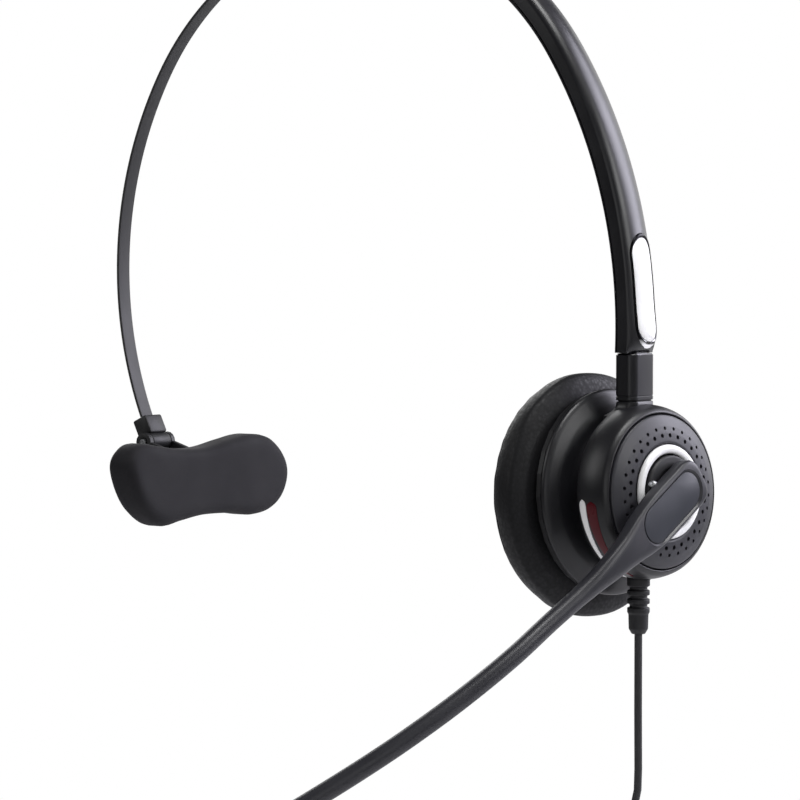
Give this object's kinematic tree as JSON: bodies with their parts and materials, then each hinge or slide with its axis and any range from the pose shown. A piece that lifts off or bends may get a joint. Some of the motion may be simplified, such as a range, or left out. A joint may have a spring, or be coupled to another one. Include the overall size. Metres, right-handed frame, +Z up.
{
  "type": "office headset",
  "caption": "Single-ear office headset: thin steel headband with a temple pad, sliding arm, swivelling cushioned ear cup, rotating microphone boom and a hanging cord with a modular plug.",
  "frame": {"origin": "underside of the headband at its crown, where it rests on the wearer's head", "axes": "+Z up, the wearer faces -Y, the ear cup is on the +X side and the temple pad on the -X side"},
  "size_m": [0.1875, 0.164, 0.3191],
  "materials": {
    "black_plastic": "satin black moulding",
    "grey_plastic": "satin dark grey moulding",
    "painted_steel": "matte black coated spring steel",
    "steel": "bare steel",
    "silver_trim": "bright plated trim",
    "white_inlay": "smooth pale insert",
    "red_lens": "dark red translucent lens",
    "leatherette": "fine-grained black leatherette",
    "rubber": "matte black soft moulding",
    "cloth": "fine black acoustic cloth",
    "board": "solder-masked board",
    "gold": "gold-plated contacts",
    "clear_plastic": "clear moulding"
  },
  "bodies": {
    "headband": {"spring_band": "painted_steel", "arm_shell": "black_plastic", "arm_inner_cover": "black_plastic", "badge_rim": "silver_trim", "badge_plate": "white_inlay", "band_rivet_1": "steel", "band_rivet_2": "steel", "band_end_clip": "black_plastic", "pad_hinge_pin": "steel"},
    "slider": {"slider_strip": "steel", "click_spring": "steel", "stem": "black_plastic", "swivel_clip": "steel"},
    "ear_cup": {"cup_housing": "black_plastic", "cap_plate": "grey_plastic", "pivot_ring": "silver_trim", "accent_silver_front": "silver_trim", "accent_silver_rear": "silver_trim", "accent_red_front": "red_lens", "accent_red_rear": "red_lens", "friction_washer": "steel", "baffle_plate": "black_plastic", "speaker_frame": "grey_plastic", "speaker_magnet": "steel", "speaker_diaphragm": "clear_plastic", "speaker_cloth": "cloth", "ear_cushion": "leatherette", "terminal_board": "board", "strain_relief": "rubber", "cord_lead": "rubber", "cord_coil": "rubber", "cord_tie": "rubber", "cord_tail": "rubber", "plug_boot": "rubber", "plug_body": "clear_plastic", "plug_contact_1": "gold", "plug_contact_2": "gold", "plug_contact_3": "gold", "plug_contact_4": "gold"},
    "boom": {"boom_hub": "black_plastic", "hub_retainer": "steel", "hub_screw": "steel", "hub_index_peg": "steel", "boom_arm": "grey_plastic", "boom_insert": "grey_plastic", "mic_back_shell": "black_plastic", "mic_front_shell": "black_plastic", "mic_capsule": "steel"},
    "pad": {"temple_pad": "rubber", "pad_bracket": "black_plastic"}
  },
  "joints": [
    {"name": "size_slide", "type": "hinge", "parent": "headband", "child": "slider", "pos_m": [-0.04763, 0, -0.10638], "axis": [0, 1, 0], "range_deg": [0, 8]},
    {"name": "cup_swivel", "type": "hinge", "parent": "slider", "child": "ear_cup", "pos_m": [0.08517, 0, -0.14681], "axis": [0, 0, 1], "range_deg": [-8, 32]},
    {"name": "boom_rotation", "type": "hinge", "parent": "ear_cup", "child": "boom", "pos_m": [0.08517, 0, -0.14681], "axis": [-0.9768, 0.2076, -0.0523], "range_deg": [-28, 271]},
    {"name": "pad_pivot", "type": "hinge", "parent": "headband", "child": "pad", "pos_m": [-0.069, 0, -0.13906], "axis": [0, 1, 0], "range_deg": [-15, 15]}
  ]
}
